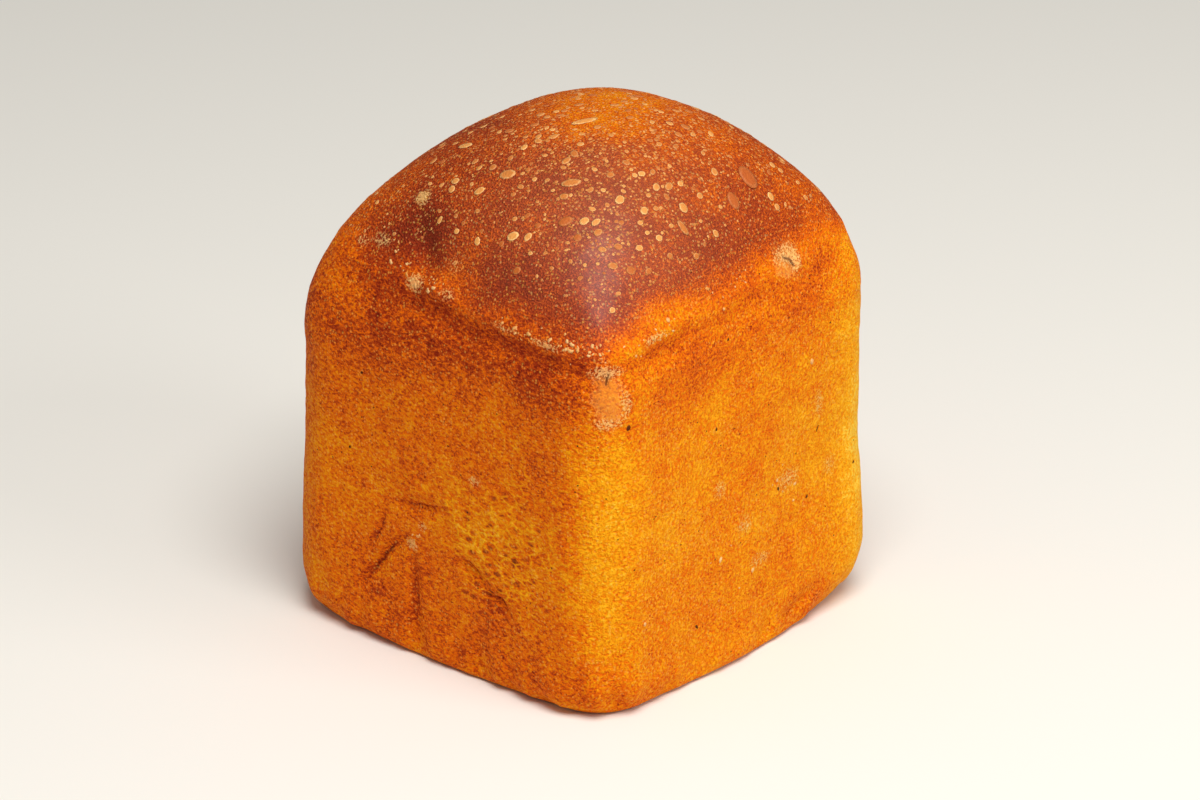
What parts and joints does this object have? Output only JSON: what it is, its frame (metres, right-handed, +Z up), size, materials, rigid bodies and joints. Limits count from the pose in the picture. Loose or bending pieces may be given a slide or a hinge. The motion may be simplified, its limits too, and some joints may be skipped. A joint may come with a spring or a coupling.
{
  "type": "square white loaf",
  "caption": "Small square white loaf from an open tin: flat golden sides, a lipped shoulder and a tall browned dome with fine blisters.",
  "frame": {"origin": "middle of the loaf's footprint, on the surface that it stands on", "axes": "+Z up, the height of the loaf; the front, with the folds, faces -Y and the right side faces +X"},
  "size_m": [0.115, 0.1126, 0.1363],
  "materials": {
    "crust": "baked bread crust, golden on the sides and mahogany brown on the dome, dull with a faint sheen on top"
  },
  "bodies": {
    "root": {"loaf": "crust"}
  },
  "joints": []
}
